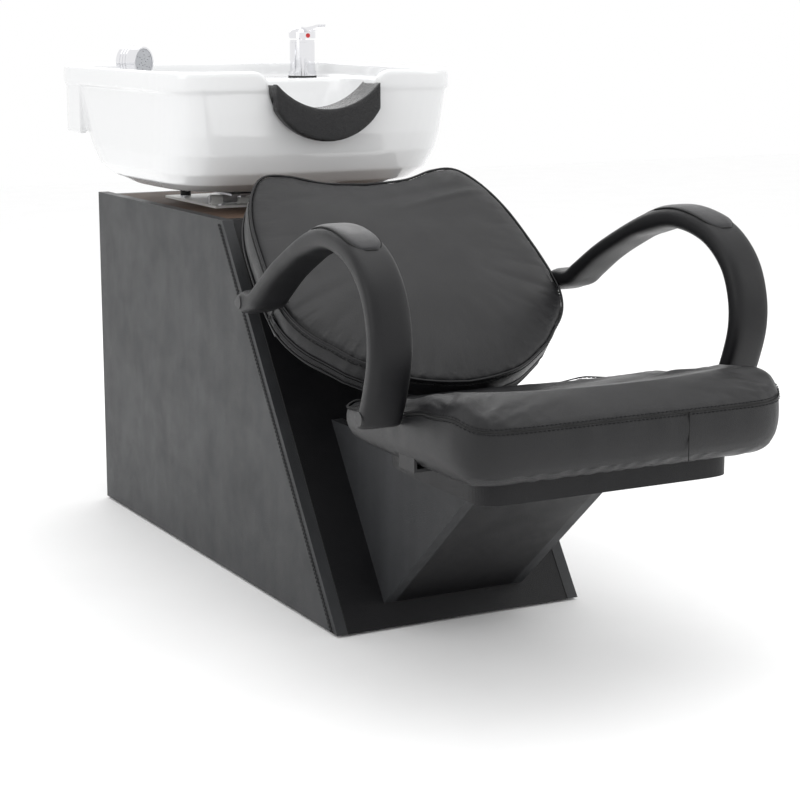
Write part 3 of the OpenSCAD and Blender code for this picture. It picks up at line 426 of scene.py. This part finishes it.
# ---------------------------------------------------------------- backrest

BACK_A = math.radians(38.7)
BACK_Y, BACK_Z = -0.1632, 0.450
BACK_W = 0.2274


def on_back(x, s, n):
    return Vector((x, BACK_Y + s * math.cos(BACK_A) - n * math.sin(BACK_A),
                   BACK_Z + s * math.sin(BACK_A) + n * math.cos(BACK_A)))


def back_local(p):
    y, z = p[1] - BACK_Y, p[2] - BACK_Z
    return (p[0], y * math.cos(BACK_A) + z * math.sin(BACK_A),
            z * math.cos(BACK_A) - y * math.sin(BACK_A))


def back_outline(step=0.006):
    w = BACK_W
    half = catmull([(0, .243, 0), (w * .30, .249, 0), (w * .54, .267, 0), (w * .72, .267, 0),
                    (w * .85, .232, 0), (w * .94, .174, 0), (w * .985, .100, 0),
                    (w, .050, 0), (w, .022, 0)], 12)[:-1]
    half += [Vector((w - .120 + .120 * math.cos(a), .022 + .120 * math.sin(a), 0))
             for a in (math.radians(-5 - 5 * k) for k in range(10))]
    half += catmull([(w * .70, -.097, 0), (w * .44, -.136, 0), (w * .20, -.152, 0),
                     (0, -.157, 0)], 8)
    mirror = [Vector((-p[0], p[1], 0)) for p in reversed(half[1:-1])]
    return evenly(half + mirror, step, closed=True)


def outward(loop):
    """Unit outward normals of a clockwise loop in its own plane."""
    out = []
    for i in range(len(loop)):
        t = (loop[(i + 1) % len(loop)] - loop[i - 1]).normalized()
        out.append(Vector((-t[1], t[0], 0)))
    return out


LOOP = back_outline()
LOOP_OUT = outward(LOOP)


def back_ring(offset, n, shrink=0.0, lumbar=0.0):
    ring = []
    for p, o in zip(LOOP, LOOP_OUT):
        q = p + o * offset
        q = Vector((q[0] * (1 - shrink), .045 + (q[1] - .045) * (1 - shrink), 0))
        if offset > 0 and -.02 < q[1] < .09:
            q[0] = max(-BACK_W, min(BACK_W, q[0]))
        lift = lumbar * math.exp(-((q[1] + .035) / .085) ** 2)
        ring.append(on_back(q[0], q[1], n + lift))
    return ring


profile = [(-.012, -.052), (-.004, -.0515), (0, -.047), (.0004, -.036), (.003, -.026),
           (.003, -.014), (.001, -.005), (0, 0), (-.004, .0035), (-.011, .0070),
           (-.022, .0098), (-.040, .0115)]
rings = [back_ring(o, n) for o, n in profile]
rings += [back_ring(-.040, .0115 + .0006 * k, k / 9,
                    .004 * min(1, k / 3)) for k in range(1, 9)]
rings.append(back_ring(-.040, .0165, .985, .004))
backrest = piece("backrest_cover", *skin(rings), "cushion", None, "cushion")


def kd(points):
    from mathutils.kdtree import KDTree
    tree = KDTree(len(points))
    for i, p in enumerate(points):
        tree.insert(p, i)
    tree.balance()
    return tree


seam_tree = kd([on_back(p[0], p[1], 0) for p in LOOP])
inflate(backrest, lambda co: back_local(co)[2] < -.030 or seam_tree.find(co)[2] < .006,
        cap=.012, pressure=3.0)


def wrinkle(x, period, seed=0.0):
    """Soft fold pattern, uneven in width and height."""
    a = noise.noise(Vector((x / period * 0.7, seed, 1.7)))
    return math.sin(2 * math.pi * x / period + 3.1 * a) * (0.55 + 0.45 * noise.noise(
        Vector((x / period * 0.45, seed + 9.0, 0.3))))


def fold(x, y, ax, ay, bx, by, width, height):
    """Height of one soft crease from a to b."""
    dx, dy = bx - ax, by - ay
    length = math.hypot(dx, dy)
    u = ((x - ax) * dx + (y - ay) * dy) / length ** 2
    v = ((x - ax) * dy - (y - ay) * dx) / length
    if u < -0.1 or u > 1.1:
        return 0.0
    end = math.sin(math.pi * min(1, max(0, (u + 0.1) / 1.2))) ** 0.8
    return height * end * math.exp(-(v / width) ** 2)


def backrest_height(co):
    """Gathers along the seam, and the folds of the upper face."""
    x, s, n = back_local(co)
    if n < -.004:
        return .0006 * wrinkle(s - x, .034, 4.0) if n > -.030 and x < .05 and s < .06 else 0.0
    _, index, near = seam_tree.find(co)
    along = index * .006
    pull = math.exp(-(near / .026) ** 2) * min(1.0, near / .006)
    low = max(0.0, min(1.0, (.06 - s) / .10))
    left = max(0.0, min(1.0, (.02 - x) / .10))
    h = .0022 * pull * low * (0.35 + 0.65 * left) * wrinkle(along, .023)
    h += .0007 * pull * (1 - low) * wrinkle(along, .05, 3.0)
    h += fold(x, s, .03, .178, .19, .214, .007, .0016)
    h += fold(x, s, -.02, .196, .16, .222, .010, -.0014)
    h += fold(x, s, -.17, .205, -.05, .214, .010, -.0013)
    h += fold(x, s, -.02, .150, .17, .150, .022, -.0014)
    return h


subdivide(backrest)
displace(backrest, backrest_height)
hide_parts("back_cushion")
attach(backrest, "base")


def back_line(offset, n, s_max=None):
    pts = [on_back(*(p + o * offset)[:2], n) for p, o in zip(LOOP, LOOP_OUT)]
    if s_max is None:
        return pts
    keep = [p for p in pts if back_local(p)[1] < s_max]
    # one open run from the right side round the toe to the left
    return sorted(keep, key=lambda p: math.atan2(p[0], .2 - back_local(p)[1]))


tube("backrest_piping", back_line(.0012, .0002), .0019, "piping", "base", "cushion", 8, True)
# A dark tube just inside the piping: painted shade in the seam crevice
tube("backrest_seam_shade", back_line(.0016, -.0085), .0007, "seam", "base", "cushion", 6, True)
stitches("backrest_stitches", back_line(.0022, -.0060), "base", "cushion", closed=True,
         lift=lambda p: (p - on_back(0, .045, -.006)).normalized())
tube("backrest_zip_lip", back_line(.0020, -.0325, .025), .0016, "piping", "base", "cushion")
tube("backrest_rear_piping", back_line(.0006, -.0490), .0017, "piping", "base", "cushion",
     8, True)
# Dark tubes down each side: painted shade in the cross seams
for name, side in (("near", -1), ("far", 1)):
    x = side * (BACK_W + .0012)
    tube("backrest_cross_seam_shade_" + name,
         [on_back(x, .024 + .004 * k / 8, -.002 - .046 * k / 8) for k in range(9)],
         .0009, "seam", "base", "cushion", 6)

# ---------------------------------------------------------------- seat

SEAT_Y0, SEAT_Y1, SEAT_W = -.700, -.265, .2402
SEAT_FRONT_P, SEAT_REAR_P = 9, 3.5
CREST = [(-.70, .402), (-.655, .411), (-.60, .404), (-.466, .374), (-.30, .341), (-.265, .332)]
SEAM = [(-.70, .374), (-.655, .386), (-.60, .382), (-.50, .366), (-.30, .343), (-.265, .330)]


def seat_point(a, inset):
    p = SEAT_REAR_P if math.sin(a) > 0 else SEAT_FRONT_P
    s = superpow(math.sin(a), p)
    return (
        (SEAT_W - inset) * (1 - .02 * s) * superpow(math.cos(a), p),
        (SEAT_Y0 + SEAT_Y1) / 2 + ((SEAT_Y1 - SEAT_Y0) / 2 - inset) * s)


# angles that space the outline evenly
_fine = [seat_point(2 * math.pi * k / 2400, 0) for k in range(2400)]
_even = evenly([Vector((x, y, 0)) for x, y in _fine], .0095, closed=True)
SEAT_LOOP = list(reversed(_even))
SEAT_OUT = outward(SEAT_LOOP)
SEAT_MID = (SEAT_Y0 + SEAT_Y1) / 2


def dish(x, y):
    """Depth of the sitting hollow below the crest."""
    u = x / .20
    v = (y + .47) / .20
    return .024 * math.exp(-(u * u) ** 1.3) * math.exp(-(v * v) ** 1.1)


def seat_ring(inset, z_of, shrink=0.0):
    ring = []
    for p, o in zip(SEAT_LOOP, SEAT_OUT):
        q = p - o * inset
        q = Vector((q[0] * (1 - shrink), SEAT_MID + (q[1] - SEAT_MID) * (1 - shrink), 0))
        ring.append(Vector((q[0], q[1], z_of(p, q))))
    return ring


def seam_z(y):
    return lerp_table(SEAM, y)


def crest_z(y):
    return lerp_table(CREST, y)


# The lower edge is a round roll, deepest at the front where the cushion is thick
rings = [seat_ring(inset, lambda p, q, t=t: .3002 + t * (seam_z(p[1]) - .3002))
         for inset, t in ((.044, 0), (.030, .03), (.018, .10), (.009, .21), (.003, .36),
                          (.0004, .52), (-.0004, .68), (.0002, .84))]
rings.append(seat_ring(.0015, lambda p, q: seam_z(p[1])))
for inset, t in ((.004, .35), (.009, .65), (.017, .88), (.028, 1.0)):
    rings.append(seat_ring(inset, lambda p, q, t=t: seam_z(p[1]) + (
        crest_z(p[1]) - seam_z(p[1])) * t))
for k in range(1, 10):
    rings.append(seat_ring(.028, lambda p, q: crest_z(q[1]) - dish(*q[:2]),
                           min(.985, k / 9)))
seat = piece("seat_cover", *skin(rings), "cushion", None, "cushion")
seat_seam = [Vector((*(p - o * .0010)[:2], seam_z(p[1]))) for p, o in zip(SEAT_LOOP, SEAT_OUT)]
seat_tree = kd(evenly(seat_seam, .004, closed=True))
inflate(seat, lambda co: co[2] < .310 or seat_tree.find(co)[2] < .006
        or (abs(co[0]) > .225 and -.58 < co[1] < -.49), cap=.008, pressure=2.4)
def seat_height(co):
    """Creases that fan out of the far front corner, and gathers along the seams."""
    x, y, z = co
    _, index, near = seat_tree.find(co)
    h = 0.0
    if z > seam_z(y) + .002:
        pull = math.exp(-(near / .020) ** 2) * min(1.0, near / .006)
        h += .0006 * pull * wrinkle(index * .004, .040)
        for k, (bx, by, hh) in enumerate(((.02, -.47, .0030), (.05, -.43, .0022),
                                          (-.02, -.52, .0024), (.09, -.41, .0018),
                                          (-.06, -.57, .0016))):
            h += fold(x, y, .185, -.612 + .010 * k, bx, by, .0065, hh)
            h -= fold(x, y, .185, -.600 + .010 * k, bx + .012, by + .016, .0075, hh * .9)
    elif z > .312:
        h += .0005 * math.exp(-(near / .03) ** 2) * wrinkle(index * .004, .055, 7.0)
    if z < .316:
        h += .0009 * wrinkle(math.atan2(y - SEAT_MID, x) * .24, .030, 2.0)
    return h


subdivide(seat)
displace(seat, seat_height)
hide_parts("seat_cushion")
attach(seat, "base")

def seat_lift(p):
    return Vector((p[0] / .24, (p[1] - SEAT_MID) / .22, .35)).normalized()


def seat_line(dz, out=0.0):
    """A line beside the seam, closer to it where the cushion is thin."""
    return [Vector((*(p + o * out)[:2], seam_z(p[1]) + math.copysign(
        min(abs(dz), .4 * (crest_z(p[1]) - seam_z(p[1]))), dz)))
        for p, o in zip(SEAT_LOOP, SEAT_OUT)]


# A dark tube along the seat seam: painted shade in its crevice
tube("seat_seam", seat_line(0, -.0012), .0010, "seam", "base", "cushion", 6, True)
stitches("seat_stitches_upper", seat_line(.0034, -.0017), "base", "cushion", closed=True,
         lift=seat_lift)
stitches("seat_stitches_lower", seat_line(-.0034, -.0004), "base", "cushion", closed=True,
         lift=seat_lift)
# A dark tube up the front butt joint: painted shade in the joint
joint_at = min(range(len(SEAT_LOOP)), key=lambda i: (SEAT_LOOP[i] - Vector((.075, -.70, 0))).length)
p0, o0 = SEAT_LOOP[joint_at], SEAT_OUT[joint_at]
tube("seat_joint_shade", [Vector((*(p0 + o0 * .0003)[:2], .306 + (seam_z(p0[1]) - .306) * k / 8))
                    for k in range(9)], .0007, "seam", "base", "cushion", 6)

# ---------------------------------------------------------------- armrests

ARM_LINE = [(563, 163), (530, 169), (508, 183), (460, 214), (410, 240), (360, 262),
            (300, 279), (250, 278), (200, 262), (162, 229), (144, 187), (142, 145),
            (154, 102), (168, 70)]
ARM_W, TOE = .057, math.radians(2)
ARM_IN, FOOT_Y = .24166, -.532
arm_path = evenly(catmull([(0, -.700 + a / 1000, .300 + b / 1000) for a, b in ARM_LINE], 10),
                  .005)


def on_arm(side, u, y, z):
    x = ARM_IN + u * math.cos(TOE) - (y - FOOT_Y) * math.sin(TOE)
    return Vector((side * x, FOOT_Y + u * math.sin(TOE) + (y - FOOT_Y) * math.cos(TOE), z))


def arm_frame(i):
    a, b = arm_path[max(i - 1, 0)], arm_path[min(i + 1, len(arm_path) - 1)]
    t = (b - a).normalized()
    return arm_path[i], t, Vector((0, t[2], -t[1]))


THICK = [(0, .0165), (.045, .0135), (.20, .0122), (.33, .0125), (.42, .0148), (.60, .0150),
         (.80, .0138), (1, .0135)]


def arm_half(i):
    return lerp_table(THICK, i / (len(arm_path) - 1))


def arm_rings(side):
    rings = []
    last = len(arm_path) - 1
    stations = [(0, -.0155 * math.cos(a), math.sin(a)) for a in (.25, .55, .85, 1.2)]
    stations += [(i, 0.0, 1.0) for i in range(last + 1)]
    stations += [(last, .0135 * math.cos(a), math.sin(a)) for a in (1.2, .85, .55, .25)]
    for i, ahead, scale in stations:
        c, t, up = arm_frame(i)
        c = c + t * ahead
        h = arm_half(i) * scale
        ring = []
        for k in range(36):
            a = 2 * math.pi * k / 36
            u = ARM_W / 2 * (1 + superpow(math.cos(a), 4.2))
            v = h * superpow(math.sin(a), 2.9)
            q = c + up * v
            ring.append(on_arm(side, u, q[1], q[2]))
        rings.append(ring)
    return rings


PAD_0, PAD_1 = .37, .645


def arm_pad(side):
    """Softer top pad with a blunt rounded front end, faded out at the rear."""
    last = len(arm_path) - 1
    rows, cols = 46, 22
    rings, edge = [], []
    for r in range(rows + 1):
        v = r / rows
        f = (PAD_0 + (PAD_1 - PAD_0) * v) * last
        i = int(f)
        c0, _, up0 = arm_frame(i)
        c1, _, up1 = arm_frame(min(i + 1, last))
        c, up = c0.lerp(c1, f - i), up0.lerp(up1, f - i).normalized()
        front = max(0.0, (v - .80) / .20)
        half = .0225 * (1 - front ** 3.2 * .55) * (.80 + .20 * min(1, v / .35))
        rise = .0030 * min(1.0, v / .30) * math.sqrt(max(0.0, 1 - front ** 6))
        ring = []
        for k in range(cols + 1):
            s = -1 + 2 * k / cols
            crown = (1 - abs(s) ** 3.5) ** .6
            h = arm_half(i) - .0012 + rise * crown + .0012 * crown
            q = c + up * h
            ring.append(on_arm(side, ARM_W / 2 + half * s, q[1], q[2]))
        under = [on_arm(side, ARM_W / 2 + half * s, *(c + up * (arm_half(i) - .004))[1:])
                 for s in (1.0, .5, 0.0, -.5, -1.0)]
        rings.append(ring + under)
        edge.append((ring[0], ring[-1], ring))
    return rings, edge


for side, word in ((1, "left"), (-1, "right")):
    arm = piece("arm_" + word, *skin(arm_rings(side)), "arm", "base", "arm_foam")
    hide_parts("armrest_" + word)
    rings, edge = arm_pad(side)
    pad = piece("arm_top_" + word, *skin(rings), "pad", "base", "arm_foam")
    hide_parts("arm_pad_" + word)
    run = [e[0] for e in edge[12:]] + edge[-1][2][1:-1] + [e[1] for e in reversed(edge[12:])]
    line = evenly(run, .003)
    # A dark tube round the pad edge: painted shade in the groove
    tube("arm_groove_shade_" + word, line, .0011, "seam", "base", "arm_foam", 6)

# ---------------------------------------------------------------- basin and neck rest


def copy_of(name, node, look, body):
    src = frame["nodes"][node]
    obj = bpy.data.objects.new(name, src.data.copy())
    SCENE.collection.objects.link(obj)
    obj.data.materials.clear()
    obj.data.materials.append(M[look])
    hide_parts(node)
    return obj


bowl = copy_of("basin_shell", "basin", "ceramic", "basin_unit")
remesh(bowl, .0021, 14)
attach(bowl, "basin_unit")

neck = copy_of("neck_cushion_skin", "neck_rest", "neck", "neck_cushion")
remesh(neck, .0018, 26)
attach(neck, "neck_cushion")

# ---------------------------------------------------------------- cabinet seams

RAMP_A = math.atan2(.550, .386)


def on_ramp(x, s, n=0.0):
    return Vector((x, -.269 + s * math.cos(RAMP_A) - n * math.sin(RAMP_A),
                   s * math.sin(RAMP_A) + n * math.cos(RAMP_A)))


for side, word in ((1, "left"), (-1, "right")):
    x = side * .2003
    for k, inset in enumerate((.010, .016)):
        run = [Vector((x, p[1] + inset / math.sin(RAMP_A), p[2]))
               for p in (on_ramp(0, .006 + .655 * i / 40) for i in range(41))]
        stitches("cabinet_stitches_%s_%d" % (word, k), run, "base", "leatherette",
                 lift=lambda p, s=side: Vector((s, 0, 0)))
    # Dark tubes along the side seam and the ramp edge: painted shade in their creases
    tube("cabinet_seam_shade_" + word, [Vector((x - side * .0004, p[1] + .013 / math.sin(RAMP_A), p[2]))
                                  for p in (on_ramp(0, .004 + .660 * i / 40) for i in range(41))],
         .0009, "seam", "base", "leatherette", 6)
    tube("cabinet_edge_seam_shade_" + word, [on_ramp(side * .1822, .004 + .662 * i / 40, -.0002)
                                       for i in range(41)], .0009, "seam", "base",
         "leatherette_dark", 6)

# ---------------------------------------------------------------- stage

bpy.ops.mesh.primitive_plane_add(size=14, location=(0, 0, -0.0005))
floor = bpy.context.active_object
floor.name = "floor"
floor.data.materials.append(M["floor"])

world = bpy.data.worlds.new("studio")
SCENE.world = world
world.use_nodes = True
world.node_tree.nodes["Background"].inputs["Color"].default_value = (1, 1, 1, 1)
world.node_tree.nodes["Background"].inputs["Strength"].default_value = 1.0


def softbox(name, at, towards, size, power):
    data = bpy.data.lights.new(name, "AREA")
    data.shape = "RECTANGLE"
    data.size, data.size_y = size
    data.energy = power
    obj = bpy.data.objects.new(name, data)
    SCENE.collection.objects.link(obj)
    obj.location = at
    obj.rotation_euler = (Vector(towards) - Vector(at)).to_track_quat("-Z", "Y").to_euler()


softbox("top_light", (0.2, -0.3, 2.9), (0, -0.1, 0.4), (2.4, 2.4), 22)
softbox("left_light", (-2.8, -0.9, 1.7), (0, 0, 0.4), (1.6, 2.0), 16)
softbox("right_light", (2.6, -2.0, 1.9), (0, -0.2, 0.4), (1.4, 2.0), 14)
softbox("back_light", (0.6, 2.6, 2.0), (0, 0, 0.6), (2.4, 1.4), 14)

# Where the camera stands, its turn in degrees, and its lens in millimetres
CAMERA_AT = (-1.3765, -2.6447, 0.8601)
LOOK_DOWN, LOOK_RIGHT = 11.1068, 28.2171
LENS, SENSOR = 89.07, 36

cam_data = bpy.data.cameras.new("camera")
cam_data.lens = LENS
cam_data.sensor_width = SENSOR
camera = bpy.data.objects.new("camera", cam_data)
SCENE.collection.objects.link(camera)
camera.location = CAMERA_AT
camera.rotation_euler = (math.radians(90 - LOOK_DOWN), 0, math.radians(-LOOK_RIGHT))
SCENE.camera = camera

SCENE.view_settings.view_transform = "Standard"
